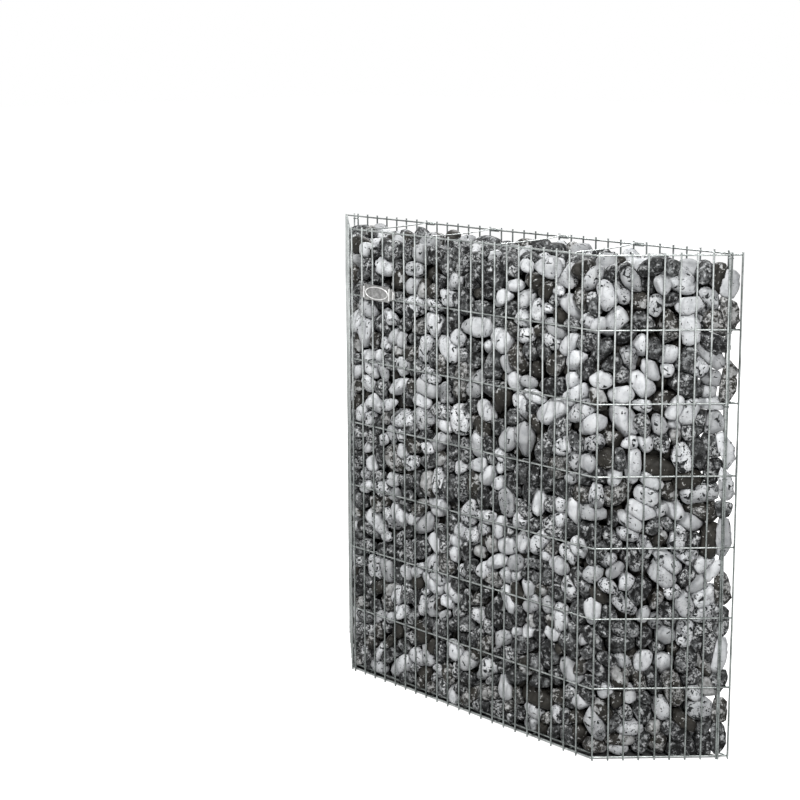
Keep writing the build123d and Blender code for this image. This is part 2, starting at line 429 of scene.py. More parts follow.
    def dark(self) -> Material:
        """Brown-black stone with light flecks, some stones with a pale or broken side.

        Returns:
            The material.
        """
        shader, place, tone, light = self.start()
        cloud = shader.noise(place, scale=66.0, detail=6.0, rough=0.66)
        ground = shader.ramp(cloud, [(0.34, (0.0095, 0.0088, 0.0074)), (0.66, (0.036, 0.0334, 0.0288))])
        flecks = self.marks(shader, place, tone, scale=150.0, level=0.69, swing=0.11, stir=0.7)
        colour = shader.blend(flecks, ground, (0.36, 0.36, 0.35))
        side = shader.scaled(light, 0.24, shader.noise(place, scale=21.0, detail=7.0, rough=0.66))
        ashen = shader.ramp(cloud, [(0.36, (0.16, 0.16, 0.155)), (0.62, (0.44, 0.445, 0.445))])
        sided = shader.blend(shader.step(side, 0.695, 0.715), colour, ashen)
        face = shader.scaled(tone, 0.22, shader.noise(place, scale=30.0, detail=6.0, rough=0.7))
        broken = shader.ramp(
            shader.noise(place, scale=120.0, detail=7.0, rough=0.76),
            [(0.45, (0.018, 0.018, 0.017)), (0.51, (0.09, 0.09, 0.088)), (0.58, (0.38, 0.38, 0.375))],
        )
        faced = shader.blend(shader.step(face, 0.64, 0.69), sided, broken)
        fine = shader.noise(place, scale=260.0, detail=4.0, rough=0.62)
        return self.finish(shader, faced, fine, rough=0.56, depth=0.0009)


# The basket


@dataclass(frozen=True)
class Plan:
    """The basket's plan, on the centre lines of its upright wires."""

    back_length: float = 1.048
    front_length: float = 0.648
    depth: float = 0.192
    height: float = 1.0
    wire: float = 0.0032
    pitch: float = 0.0303
    stub: float = 0.004
    row_count: int = 8
    front_first: float = 0.0085
    back_first: float = 0.0403
    strip_width: float = 0.0288
    corner_step: float = 0.0065
    seat: float = 0.0002

    @property
    def round_radius(self) -> float:
        """Radius of the round wire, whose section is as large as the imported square's."""
        return self.wire / math.sqrt(math.pi)

    @property
    def run(self) -> float:
        """How far a mitred end runs along the wall."""
        return (self.back_length - self.front_length) / 2

    @property
    def mitre(self) -> float:
        """Length of a mitred end."""
        return math.hypot(self.run, self.depth)

    @property
    def rows(self) -> List[float]:
        """Heights of the level wires.

        Returns:
            The heights, from the lowest up.
        """
        low = self.stub + self.wire / 2
        gap = (self.height - 2 * low) / (self.row_count - 1)
        return [low + gap * i for i in range(self.row_count)]

    @property
    def front_xs(self) -> List[float]:
        """Places of the front sheet's uprights."""
        count = int((self.front_length - self.front_first) // self.pitch)
        return [-self.front_length / 2 + self.front_first + self.pitch * i for i in range(count)]

    @property
    def back_xs(self) -> List[float]:
        """Places of the back sheet's uprights."""
        count = int((self.back_length - self.back_first) // self.pitch) + 1
        return [-self.back_length / 2 + self.back_first + self.pitch * i for i in range(count)]

    @property
    def end_steps(self) -> List[float]:
        """Distances of an end's uprights from its back corner."""
        return [self.pitch * (i + 1) for i in range(int(self.mitre // self.pitch))]

    @property
    def left_strip(self) -> float:
        """X of the left strip's own upright, on the back."""
        return -self.back_length / 2 + self.strip_width

    @property
    def right_strip(self) -> float:
        """Distance of the right strip's outer upright from its back corner, along the end."""
        return self.pitch - self.wire - self.seat

    def end_x(self, y: float, inset: float) -> float:
        """X of the right-hand end at this y, moved inwards by inset."""
        reach = self.run * (y + self.depth / 2) / self.depth
        return self.front_length / 2 + reach - inset * self.mitre / self.depth

    def corner(self, side: int, rear: int, inset: float) -> Spot:
        """A plan corner.

        Args:
            side: -1 at the left, 1 at the right.
            rear: -1 at the front, 1 at the back.
            inset: How far it is moved inwards.

        Returns:
            Its x and y.
        """
        y = rear * (self.depth / 2 - inset)
        return side * self.end_x(y, inset), y

    def on_end(self, side: int, distance: float, inset: float) -> Spot:
        """A point on a mitred end.

        Args:
            side: -1 at the left, 1 at the right.
            distance: How far along the end it lies from the back corner.
            inset: How far it is moved inwards.

        Returns:
            Its x and y.
        """
        along_x, along_y = self.run / self.mitre, self.depth / self.mitre
        x = self.back_length / 2 - distance * along_x - inset * along_y
        return side * x, self.depth / 2 - distance * along_y + inset * along_x

    def walls(self, inset: float) -> np.ndarray:
        """The four upright walls.

        Args:
            inset: How far they are moved inwards.

        Returns:
            A row for each wall, its inward normal and an offset: inside, normal times place exceeds it.
        """
        along_x, along_y = self.run / self.mitre, self.depth / self.mitre
        end_offset = -self.front_length / 2 * along_y - self.depth / 2 * along_x + inset
        half = self.depth / 2 - inset
        return np.array(
            [
                (0.0, 1.0, 0.0, -half),
                (0.0, -1.0, 0.0, -half),
                (-along_y, along_x, 0.0, end_offset),
                (along_y, along_x, 0.0, end_offset),
            ]
        )


def merge(part: bmesh.types.BMesh, whole: bmesh.types.BMesh) -> None:
    """Add a part to a whole, and free the part.

    Args:
        part: The mesh to add.
        whole: Where it goes.
    """
    held = bpy.data.meshes.new("part")
    part.to_mesh(held)
    part.free()
    whole.from_mesh(held)
    bpy.data.meshes.remove(held)


def rounded(path: Sequence[Spot], radius: float, steps: int = 5) -> List[Spot]:
    """Round the inner corners of a flat path, the sharp ones more tightly.

    Args:
        path: Its corners.
        radius: The radius of a bend of a right angle.
        steps: Points along each bend.

    Returns:
        The path with bends.
    """
    out = [path[0]]
    for before, here, after in zip(path, path[1:], path[2:]):
        back = (Vector(before) - Vector(here)).normalized()
        ahead = (Vector(after) - Vector(here)).normalized()
        half = back.angle(ahead) / 2
        tight = radius * min(1.0, math.tan(half)) ** 2
        centre = Vector(here) + (back + ahead).normalized() * tight / math.sin(half)
        start = Vector(here) + back * tight / math.tan(half) - centre
        end = Vector(here) + ahead * tight / math.tan(half) - centre
        for i in range(steps):
            arm = start.normalized().slerp(end.normalized(), i / (steps - 1)) * tight
            out.append(tuple(centre + arm))
    out.append(path[-1])
    return out


@dataclass
class WireWork:
    """Draws round wires into one mesh: a circle extruded from point to point."""

    name: str
    finish: Material
    slot: str
    sides: int = 8

    def __post_init__(self) -> None:
        """Start the mesh."""
        self.mesh = bmesh.new()

    def draw(self, path: Sequence[Vector], radius: float, closed: bool = False) -> None:
        """Draw one wire.

        Args:
            path: Its middle line.
            radius: Its radius.
            closed: Whether its end meets its start.
        """
        points = [Vector(p) for p in path]
        count = len(points)
        strand = bmesh.new()
        ring = bmesh.ops.create_circle(strand, segments=self.sides, radius=radius)["verts"]
        start = edges = strand.edges[:]
        placed = Matrix.Identity(4)
        normal = None
        for i, point in enumerate(points):
            before = points[i - 1] if i or closed else point
            after = points[(i + 1) % count] if i < count - 1 or closed else point
            ahead = (after - before).normalized()
            normal = normal or ahead.orthogonal()
            normal = (normal - ahead * normal.dot(ahead)).normalized()
            turn = Matrix((normal, ahead.cross(normal), ahead)).transposed().to_4x4()
            place = Matrix.Translation(point) @ turn
            if i:
                grown = bmesh.ops.extrude_edge_only(strand, edges=edges)["geom"]
                ring = [part for part in grown if isinstance(part, bmesh.types.BMVert)]
                edges = [part for part in grown if isinstance(part, bmesh.types.BMEdge)]
            bmesh.ops.transform(strand, matrix=place @ placed.inverted(), verts=ring)
            placed = place
        if closed:
            bmesh.ops.bridge_loops(strand, edges=start + edges)
        else:
            bmesh.ops.holes_fill(strand, edges=strand.edges[:], sides=self.sides)
        bmesh.ops.recalc_face_normals(strand, faces=strand.faces[:])
        merge(strand, self.mesh)

    def piece(self, *replaced: str) -> None:
        """Close the mesh as a piece of the part.

        Args:
            *replaced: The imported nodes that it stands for.
        """
        make_piece(self.name, self.mesh, self.finish, replaced)


def make_piece(
    name: str,
    mesh: bmesh.types.BMesh,
    finish: Material,
    replaced: Sequence[str],
) -> None:
    """Turn a finished bmesh into a piece that rides on the part.

    Args:
        name: The piece's name.
        mesh: Its mesh, which is freed.
        finish: Its material.
        replaced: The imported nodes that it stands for.
    """
    data = bpy.data.meshes.new(name)
    mesh.to_mesh(data)
    mesh.free()
    data.shade_smooth()
    data.set_sharp_from_angle(angle=CREASE)
    data.materials.append(finish)
    dress_piece(data, replaced)


def dress_piece(data: bpy.types.Mesh, replaced: Sequence[str]) -> None:
    """Link a mesh as an object that rides on the part, and report it.

    Args:
        data: The mesh, in place.
        replaced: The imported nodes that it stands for.
    """
    piece = bpy.data.objects.new(data.name, data)
    bpy.context.scene.collection.objects.link(piece)
    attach(piece, BODY)
    if replaced:
        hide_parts(*replaced)
    LOG.info("%s: %d faces", data.name, len(data.polygons))


@dataclass
class Basket:
    """The welded mesh: one sheet round front and ends, one at the back, one below."""

    plan: Plan
    finish: Material
    level_finish: Material
    back_finish: Material
    sway: float = 0.0005
    bend: float = 0.0045
    weld: float = 0.0004
    base_inset: float = 0.009
    base_rails: int = 5
    base_every: int = 3
    seed: int = 11

    def __post_init__(self) -> None:
        """Start the wires' own small irregularities."""
        self.chance = np.random.default_rng(self.seed)

    def upright(self, work: WireWork, spot: Spot) -> None:
        """Draw an upright, not quite straight between the level wires.

        Args:
            work: The sheet's wires.
            spot: Its x and y.
        """
        plan = self.plan
        levels = [0.0]
        for low, high in zip(plan.rows, plan.rows[1:]):
            levels += [low, (low + high) / 2]
        levels += [plan.rows[-1], plan.height]
        drift = self.chance.uniform(-self.sway, self.sway, (len(levels), 2))
        drift[0], drift[-1] = drift[1], drift[-2]
        path = [Vector((spot[0] + dx, spot[1] + dy, z)) for z, (dx, dy) in zip(levels, drift)]
        work.draw(path, plan.round_radius)

    def level_wire(self, work: WireWork, path: Sequence[Spot], row: float) -> None:
        """Draw a level wire with its bends.

        Args:
            work: The sheet's wires.
            path: Its corners.
            row: Its height.
        """
        bent = rounded(path, self.bend)
        line = [Vector((*bent[0], row))]
        for start, end in zip(bent, bent[1:]):
            gap = (Vector(end) - Vector(start)).length
            parts = max(1, round(gap / (2 * self.plan.pitch)))
            for i in range(parts):
                x, y = Vector(start).lerp(Vector(end), (i + 1) / parts)
                lift = self.chance.uniform(-0.5, 0.5) * self.sway if i < parts - 1 else 0.0
                line.append(Vector((x, y, row + lift)))
        work.draw(line, self.plan.round_radius)

    def wrap_sheet(self) -> None:
        """Build the sheet of the front and both ends, turned one mesh onto the back."""
        plan = self.plan
        work = WireWork("front_and_end_wires", self.finish, "mesh_wire")
        levels = WireWork("front_and_end_level_wires", self.level_finish, "mesh_wire")
        inset = plan.wire - self.weld
        for x in plan.front_xs:
            self.upright(work, (x, -plan.depth / 2))
        for side in (-1, 1):
            for step in plan.end_steps:
                self.upright(work, plan.on_end(side, step, 0.0))
        self.upright(work, (plan.left_strip, plan.depth / 2))
        path = [
            (plan.back_xs[0] - plan.wire / 2 - plan.seat, plan.depth / 2 - inset),
            plan.corner(-1, 1, inset),
            plan.corner(-1, -1, inset),
            plan.corner(1, -1, inset),
            plan.on_end(1, plan.end_steps[0] - plan.wire / 2, inset),
        ]
        for row in plan.rows:
            self.level_wire(levels, path, row)
        work.piece("front_mesh", "left_end_mesh", "right_end_mesh", "left_corner_strip")
        levels.piece()

    def back_sheet(self) -> None:
        """Build the back sheet, turned one mesh onto the right end."""
        plan = self.plan
        work = WireWork("back_wires", self.back_finish, "mesh_wire")
        inset = plan.wire - self.weld
        for x in plan.back_xs:
            self.upright(work, (x, plan.depth / 2))
        for step in (plan.corner_step, plan.right_strip):
            self.upright(work, plan.on_end(1, step, 0.0))
        path = [
            (plan.back_xs[0] - plan.wire / 2, plan.depth / 2 - inset),
            plan.corner(1, 1, inset),
            plan.on_end(1, plan.right_strip + plan.wire / 2, inset),
        ]
        for row in plan.rows:
            self.level_wire(work, path, row)
        work.piece("back_mesh", "right_corner_strip")

    def base_sheet(self) -> None:
        """Build the wire floor: cross wires, and rails on top of them."""
        plan = self.plan
        work = WireWork("base_wires", self.finish, "mesh_wire")
        low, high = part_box("base_mesh")
        floor = low[2] + plan.wire / 2
        start = plan.front_xs[1] + plan.pitch / 2
        limit = plan.end_x(plan.depth / 2 - self.base_inset - plan.wire, plan.wire + plan.seat)
        pitch = plan.pitch * self.base_every
        left, right = int((limit + start) // pitch), int((limit - start) // pitch)
        for i in range(-left, right + 1):
            x = start + pitch * i
            front = low[1]
            # Past the front sheet a cross wire starts just inside the mitred end.
            if abs(x) >= plan.front_length / 2 - plan.pitch / 2:
                front = (abs(x) - plan.front_length / 2) * plan.depth / plan.run - plan.depth / 2
                front += (plan.wire + plan.seat) * plan.mitre / plan.run
            work.draw([Vector((x, front, floor)), Vector((x, high[1], floor))], plan.round_radius)
        span = plan.depth - 2 * self.base_inset
        for i in range(self.base_rails):
            y = -plan.depth / 2 + self.base_inset + span * i / (self.base_rails - 1)
            reach = plan.end_x(y, 3 * plan.wire)
            level = floor + plan.wire - self.weld
            work.draw([Vector((-reach, y, level)), Vector((reach, y, level))], plan.round_radius)
        work.piece("base_mesh")


@dataclass
class Spacers:
    """The tie wires: hooked over the front's level wire, wound round the back's."""

    plan: Plan
    finish: Material
    wire: float = 0.0024
    every: int = 6
    first: int = 1
    lead: int = 6
    upper_row: int = 5
    lower_row: int = 2
    leg: float = 0.009
    leg_lean: float = 0.0012
    bend_steps: int = 4
    coil_length: float = 0.022
    turns: int = 6
    turn_steps: int = 12
    sag: float = 0.0022
    sag_shares: Tuple[float, ...] = (0.12, 0.3, 0.5, 0.7, 0.88)

    def path(self, gap: int, row: float) -> List[Vector]:
        """The middle line of one spacer.

        Args:
            gap: The front gap that it passes through.
            row: The height of the level wires that it ties.

        Returns:
            Its points, from the hook's tip to the coil's tip.
        """
        plan = self.plan
        half = plan.depth / 2 - plan.wire
        start = Vector((plan.front_xs[gap] + plan.pitch / 2, -half, row))
        end = Vector((plan.back_xs[gap + self.lead] + plan.pitch / 2, half, row))
        along = (end - start).normalized()
        lift = plan.wire / 2 + plan.seat + self.wire / 2
        outside = start - along * lift
        points = [outside - UP * (self.leg - lift) + along * self.leg_lean, outside - UP * lift * 0.5]
        for i in range(self.bend_steps + 1):
            angle = math.pi / 2 * i / self.bend_steps
            points.append(start - along * lift * math.cos(angle) + UP * lift * math.sin(angle))
        reach = (end - start).length
        for share in self.sag_shares:
            drop = self.sag * math.sin(math.pi * share)
            points.append(start + along * reach * share + UP * (lift - drop))
        count = self.turns * self.turn_steps
        for i in range(count + 1):
            angle = 2 * math.pi * i / self.turn_steps
            x = self.coil_length * (i / count - 0.5)
            points.append(end + Vector((x, lift * math.sin(angle), lift * math.cos(angle))))
        return points

    def build(self) -> None:
        """Build every spacer, one piece each, in the place of its node."""
        plan = self.plan
        rows = {"top": plan.row_count - 1, "upper": self.upper_row, "lower": self.lower_row}
        gaps = range(self.first, len(plan.front_xs) - 1, self.every)
        for level, row in rows.items():
            for number, gap in enumerate(gaps, start=1):
                name = f"{level}_spacer_{number}"
                work = WireWork(f"{name}_wire", self.finish, "spacer_wire", sides=6)
                work.draw(self.path(gap, plan.rows[row]), self.wire / 2)
                work.piece(name)


@dataclass
class JointRings:
    """Wire rings that close the two sheet joints, one below each level wire."""

    plan: Plan
    finish: Material
    wire: float = 0.002
    drop: float = 0.007
    end_steps: int = 6

    def row_of_rings(self, name: str, middle: Spot, along: Vector, reach: float, node: str) -> None:
        """Build the rings of one joint.

        Args:
            name: The piece's name.
            middle: The point between the two uprights.
            along: The sheet's direction.
            reach: The distance between the two uprights.
            node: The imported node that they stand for.
        """
        plan = self.plan
        work = WireWork(name, self.finish, "closing_wire", sides=6)
        radius = plan.wire / 2 + plan.seat + self.wire / 2
        across = Vector((-along.y, along.x, 0.0))
        for row in plan.rows[1:]:
            centre = Vector((*middle, row - self.drop + self.wire / 2))
            ring = []
            for side in (1, -1):
                for i in range(self.end_steps + 1):
                    angle = math.pi * i / self.end_steps
                    arm = along * math.sin(angle) + across * math.cos(angle)
                    ring.append(centre + side * (along * reach / 2 + arm * radius))
            work.draw(ring, self.wire / 2, closed=True)
        work.piece(node)

    def build(self) -> None:
        """Build the rings of both joints."""
        plan = self.plan
        reach = plan.back_xs[0] - plan.left_strip
        middle = (plan.left_strip + reach / 2, plan.depth / 2)
        along = Vector((1.0, 0.0, 0.0))
        self.row_of_rings("left_joint_ring_wires", middle, along, reach, "left_joint_rings")
        first, strip = plan.end_steps[0], plan.right_strip
        start, end = Vector(plan.on_end(1, first, 0.0)), Vector(plan.on_end(1, strip, 0.0))
        middle = tuple((start + end) / 2)
        along = Vector((*(end - start).normalized(), 0.0))
        self.row_of_rings("right_joint_ring_wires", middle, along, first - strip, "right_joint_rings")


# The stones


def unit(rows: np.ndarray) -> np.ndarray:
    """Rows brought to a length of 1."""
    return rows / np.linalg.norm(rows, axis=1)[:, None]


def fade(values: np.ndarray, start: float, span: float) -> np.ndarray:
    """0 at start and before it, 1 at start plus span and past it, even in between."""
    return np.clip((values - start) / span, 0.0, 1.0)


@dataclass
class StoneFill:
    """Tumbled stones packed behind the mesh.

    Every stone starts as a rounded bar. The bars are pushed apart until they
    rest against each other and the mesh. Each is then grown to the middle of
    the gap to its neighbours, within flats and a rounded body of its own.
    """

    plan: Plan
    finishes: Dict[StoneKind, Material]
    seed: int = 2024
    # First places, sizes and directions.
    mean_radius: float = 0.0160
    spread: float = 0.20
    radius_limits: Tuple[float, float] = (0.011, 0.026)
    stretch: Tuple[float, float] = (0.25, 1.0)
    lean: Point = (0.8, 0.8, 1.3)
    share: float = 0.80
    start_gap: float = 0.012
    # Settling: the share of an overlap that moves or turns a stone in one pass, and how far a stone's
    # own radius holds it off the walls, the floor and the top.
    passes: int = 150
    search_every: int = 8
    search_reach: float = 0.088
    fall: float = 0.0003
    move_share: float = 0.8
    turn_share: float = 0.5
    girth_share: float = 0.8
    wall_share: float = 0.92
    level_share: float = 0.90
    least_room: float = 0.45
    # Heights, and the gaps to the walls' centre planes, wider where a stone crosses a level wire.
    floor: float = 0.0095
    bed: float = 0.0060
    underside: float = 0.0045
    top: float = 0.974
    limit: float = 0.994
    wall_gap: float = 0.0020
    rail_gap: float = 0.0046
    rail_share: float = 0.75
    # The uneven top: how high each mound rises, from left to right, and the mounds' shape.
    mounds: Tuple[float, ...] = (0.016, 0.012, 0.020, 0.010, 0.016, 0.022, 0.020, 0.014)
    mound_radius: float = 0.056
    mound_setback: float = 0.030
    mound_slope: float = 48.0
    # The flats that bound a stone, and how sharply they meet.
    facet_count: int = 9
    facet_reach: Tuple[float, float] = (0.60, 1.28)
    powers: Tuple[float, float] = (24.0, 80.0)
    pin_power: float = 16.0
    pin_facet: float = 1.6
    flat_search: float = 0.1
    flat_reach: float = 0.066
    flat_least: float = 0.004
    flats_kept: int = 48
    # A stone's own rounded body and its lumps.
    body_growth: Tuple[float, float] = (1.0, 1.38)
    taper: float = 0.42
    wave_turns: float = 2.4
    wave_shift: float = 6.0
    lump_middle: float = 0.985
    lump_height: float = 0.03
    # Kinds: their shares, where the fill is darker or paler, how like stones are kept apart, and how dark
    # the inner stones are painted, as shade.
    seen_depth: float = 2.3
    seen_top: float = 0.05
    pale_share: float = 0.46
    mottled_share: float = 0.39
    low_fade: Tuple[float, float] = (0.27, -0.12)
    top_fade: Tuple[float, float] = (0.72, 0.15)
    left_fade: Tuple[float, float] = (0.16, -0.25)
    right_fade: Tuple[float, float] = (0.28, 0.10)
    low_darker: float = 0.20
    top_left_darker: float = 0.15
    right_paler: float = 0.09
    mottled_follows: float = 0.6
    crowd_reach: float = 0.058
    crowd_passes: int = 2
    crowd_push: float = 0.6
    inner_painted_shade: float = 0.3
    # The stones in the two sharp corners; the last value gives each one's lowest and highest point.
    corner_lean: float = 0.16
    corner_zone: float = 0.12
    corner_growth: float = 1.35
    corner_reach: float = 0.034
    corner_radius: float = 0.0082
    corner_half: float = 0.001
    corner_bulk: float = 0.021
    corner_stones: Tuple[Tuple[float, float], ...] = (
        (0.914, 0.950),
        (0.858, 0.912),
        (0.712, 0.786),
        (0.584, 0.654),
        (0.518, 0.582),
        (0.494, 0.518),
        (0.422, 0.480),
        (0.314, 0.374),
        (0.246, 0.312),
        (0.176, 0.246),
        (0.148, 0.176),
        (0.074, 0.110),
        (0.015, 0.074),
    )

    def __post_init__(self) -> None:
        """Start the random draws."""
        self.chance = np.random.default_rng(self.seed)

    def top_level(self, x: np.ndarray, y: np.ndarray) -> np.ndarray:
        """Height of the fill's uneven top.

        Args:
            x: Places along the wall.
            y: Places across the wall.

        Returns:
            The height at each place.
        """
        pitch = (self.plan.front_length + self.plan.run) / len(self.mounds)
        level = np.zeros_like(x)
        for i, rise in enumerate(self.mounds):
            middle = pitch * (i - (len(self.mounds) - 1) / 2)
            apart = np.hypot(x - middle, y - self.mound_setback)
            slope = (self.mound_radius - apart) / math.tan(math.radians(self.mound_slope))
            level = np.maximum(level, np.minimum(rise, slope))
        return self.top + level

    def corner_pins(self) -> Tuple[np.ndarray, np.ndarray]:
        """Thin upright stones that stand in the two sharp corners.

        Returns:
            Their centres and half heights.
        """
        centres, halves = [], []
        for side in (-1, 1):
            corner = Vector((*self.plan.corner(side, 1, 0.0), 0.0))
            along_end = Vector((*self.plan.on_end(side, 1.0, 0.0), 0.0)) - corner
            inwards = (along_end.normalized() + Vector((-side, 0.0, 0.0))).normalized()
            spot = corner + inwards * self.corner_reach
            for low, high in self.corner_stones:
                centres.append((spot.x, spot.y, (low + high) / 2))
                halves.append(max((high - low) / 2 - self.corner_radius, self.corner_half))
        return np.array(centres), np.array(halves)

    def scatter(self) -> None:
        """Draw the stones' first places, directions and sizes."""
        plan = self.plan
        area = (plan.back_length + plan.front_length) / 2 * (plan.depth - 2 * self.rail_gap)
        volume = area * (self.top - self.floor)
        # Roughly the mean volume of a rounded bar, over the spread of its radius and its stretch.
        body = math.pi * self.mean_radius**3 * (4 / 3 + sum(self.stretch)) * (1 + 3 * self.spread**2)
        count = int(volume * self.share / body)
        sizes = self.mean_radius * np.exp(self.chance.normal(0.0, self.spread, count))
        self.radii = np.clip(sizes, *self.radius_limits)
        self.halves = self.radii * self.chance.uniform(*self.stretch, count)
        low = np.array([-plan.back_length / 2, -plan.depth / 2, self.floor])
        high = np.array([plan.back_length / 2, plan.depth / 2, self.top])
        walls = plan.walls(self.start_gap)
        kept: List[np.ndarray] = []
        while sum(len(part) for part in kept) < count:
            trial = self.chance.uniform(low, high, (count, 3))
            inside = (trial @ walls[:, :3].T >= walls[:, 3]).all(axis=1)
            kept.append(trial[inside])
        lean = unit(self.chance.normal(size=(count, 3)) * np.array(self.lean))
        self.pins, pin_halves = self.corner_pins()
        pinned = len(self.pins)
        upright = self.chance.normal(size=(pinned, 3)) * self.corner_lean
        upright[:, 2] = 1.0
        self.pin_ways = unit(upright)
        self.places = np.concatenate([self.pins, np.concatenate(kept)[:count]])
        self.ways = np.concatenate([self.pin_ways, lean])
        self.bulk = np.concatenate([np.full(pinned, self.corner_bulk), self.radii])
        self.radii = np.concatenate([np.full(pinned, self.corner_radius), self.radii])
        self.halves = np.concatenate([pin_halves, self.halves])

    def neighbours(self, reach: float) -> Tuple[np.ndarray, np.ndarray]:
        """Pairs of stones whose centres lie within reach of each other.

        Args:
            reach: The farthest distance between two centres.

        Returns:
            The two stones of each pair.
        """
        firsts, seconds = [], []
        order = np.argsort(self.places[:, 0], kind="stable")
        sorted_x = self.places[order, 0]
        ends = np.searchsorted(sorted_x, sorted_x + reach)
        for i, end in enumerate(ends):
            others = order[i + 1:end]
            near = np.linalg.norm(self.places[others] - self.places[order[i]], axis=1) < reach
            seconds.append(others[near])
            firsts.append(np.full(int(near.sum()), order[i]))
        return np.concatenate(firsts), np.concatenate(seconds)

    def contacts(
        self,
        first: np.ndarray,
        second: np.ndarray,
    ) -> Tuple[np.ndarray, np.ndarray, np.ndarray, np.ndarray]:
        """Closest points between the middle lines of pairs of stones.

        Args:
            first: The first stone of each pair.
            second: The second stone of each pair.

        Returns:
            How far along each line the points lie, the unit direction between them and their distance.
        """
        gap = self.places[first] - self.places[second]
        way_1, way_2 = self.ways[first], self.ways[second]
        half_1, half_2 = self.halves[first], self.halves[second]
        cross = (way_1 * way_2).sum(axis=1)
        near_1, near_2 = (way_1 * gap).sum(axis=1), (way_2 * gap).sum(axis=1)
        # The 1.0001 keeps the division sound where two bars are parallel.
        along_1 = np.clip((cross * near_2 - near_1) / (1.0001 - cross**2), -half_1, half_1)
        along_2 = np.clip(cross * along_1 + near_2, -half_2, half_2)
        along_1 = np.clip(cross * along_2 - near_1, -half_1, half_1)
        apart = -gap - way_1 * along_1[:, None] + way_2 * along_2[:, None]
        distance = np.linalg.norm(apart, axis=1) + 1e-9
        return along_1, along_2, apart / distance[:, None], distance

    def push(self, stones: np.ndarray, move: np.ndarray, along: np.ndarray) -> None:
        """Move stones, and turn them when they are pushed off their middle.

        Args:
            stones: Which stones.
            move: How each is pushed.
            along: Where on its middle line it is pushed.
        """
        count = len(self.places)
        size = self.halves[stones] ** 2 + self.girth_share * self.radii[stones] ** 2
        swing = move * (along / size)[:, None]
        for axis in range(3):
            self.places[:, axis] += self.move_share * np.bincount(stones, move[:, axis], count)
            self.ways[:, axis] += self.turn_share * np.bincount(stones, swing[:, axis], count)

    def settle(self) -> None:
        """Push stones apart and into the basket until they rest."""
        walls = self.plan.walls(self.rail_gap)
        everyone = np.arange(len(self.places))
        for turn in range(self.passes):
            if turn % self.search_every == 0:
                first, second = self.neighbours(self.search_reach)
            along_1, along_2, normal, distance = self.contacts(first, second)
            overlap = np.clip(self.radii[first] + self.radii[second] - distance, 0.0, None)
            move = normal * (overlap / 2)[:, None]
            self.push(first, -move, along_1)
            self.push(second, move, along_2)
            self.places[:, 2] -= self.fall
            for end in (-1.0, 1.0):
                along = end * self.halves
                tips = self.places + self.ways * along[:, None]
                for wall in walls:
                    short = np.clip(self.radii * self.wall_share - tips @ wall[:3] + wall[3], 0.0, None)
                    self.push(everyone, wall[:3] * short[:, None], along)
                body = self.radii * self.level_share
                low = np.clip(self.bed + body - tips[:, 2], 0.0, None)
                high = np.clip(tips[:, 2] + body - self.top_level(tips[:, 0], tips[:, 1]), 0.0, None)
                self.push(everyone, np.array(UP) * (low - high)[:, None], along)
            self.ways = unit(self.ways)
            self.places[:len(self.pins)] = self.pins
            self.ways[:len(self.pins)] = self.pin_ways
        self.leave_out()
        self.fill_corners()

    def fill_corners(self) -> None:
        """Let the stones near the two sharp corners grow further, where the wall is one stone deep."""
        for side in (-1, 1):
            apart = np.linalg.norm(self.places[:, :2] - self.plan.corner(side, 1, 0.0), axis=1)
            near = apart < self.corner_zone
            near[:len(self.pins)] = False
            self.bulk[near] *= self.corner_growth

    def leave_out(self) -> None:
        """Take out the stones that found no room between the walls."""
        depth = np.full(len(self.places), 1.0)
        for end in (-1.0, 1.0):
            tips = self.places + self.ways * (end * self.halves)[:, None]
            for wall in self.plan.walls(self.wall_gap):
                depth = np.minimum(depth, tips @ wall[:3] - wall[3])
        kept = depth > self.least_room * self.radii
        kept[:len(self.pins)] = True
        self.places, self.ways = self.places[kept], self.ways[kept]
        self.radii, self.halves, self.bulk = self.radii[kept], self.halves[kept], self.bulk[kept]

    def flats(self) -> None:
        """Find the planes that bound each stone: neighbours, mesh, floor and facets of its own."""
        count = len(self.places)
        everyone = np.arange(count)
        first, second = self.neighbours(self.flat_search)
        along_1, along_2, normal, distance = self.contacts(first, second)
        split = (distance + self.radii[first] - self.radii[second]) / 2
        reach_1 = along_1 * (normal * self.ways[first]).sum(axis=1) + split
        reach_2 = -along_2 * (normal * self.ways[second]).sum(axis=1) + distance - split
        rows = np.array(self.plan.rows)
        height = self.places[:, 2]
        tall = (self.halves * np.abs(self.ways[:, 2]) + self.radii) * self.rail_share
        crosses = (np.abs(height[:, None] - rows) < tall[:, None]).any(axis=1)
        pinned = everyone < len(self.pins)
        inset = np.where(crosses & ~pinned, self.rail_gap, self.wall_gap)
        planes = [(-wall[:3], self.places @ wall[:3] - wall[3] - inset) for wall in self.plan.walls(0.0)]
        planes += [(-UP, height - self.underside), (UP, self.limit - height)]
        for _ in range(self.facet_count):
            facet = unit(self.chance.normal(size=(count, 3)))
            stretch = self.halves * np.abs((facet * self.ways).sum(axis=1))
            depth = np.where(pinned, self.pin_facet, self.chance.uniform(*self.facet_reach, count))
            planes.append((facet, stretch + self.bulk * depth))
        self.pad(
            np.concatenate([first, second] + [everyone] * len(planes)),
            np.concatenate([normal, -normal] + [np.broadcast_to(way, (count, 3)) for way, _ in planes]),
            np.concatenate([reach_1, reach_2] + [reach for _, reach in planes]),
        )

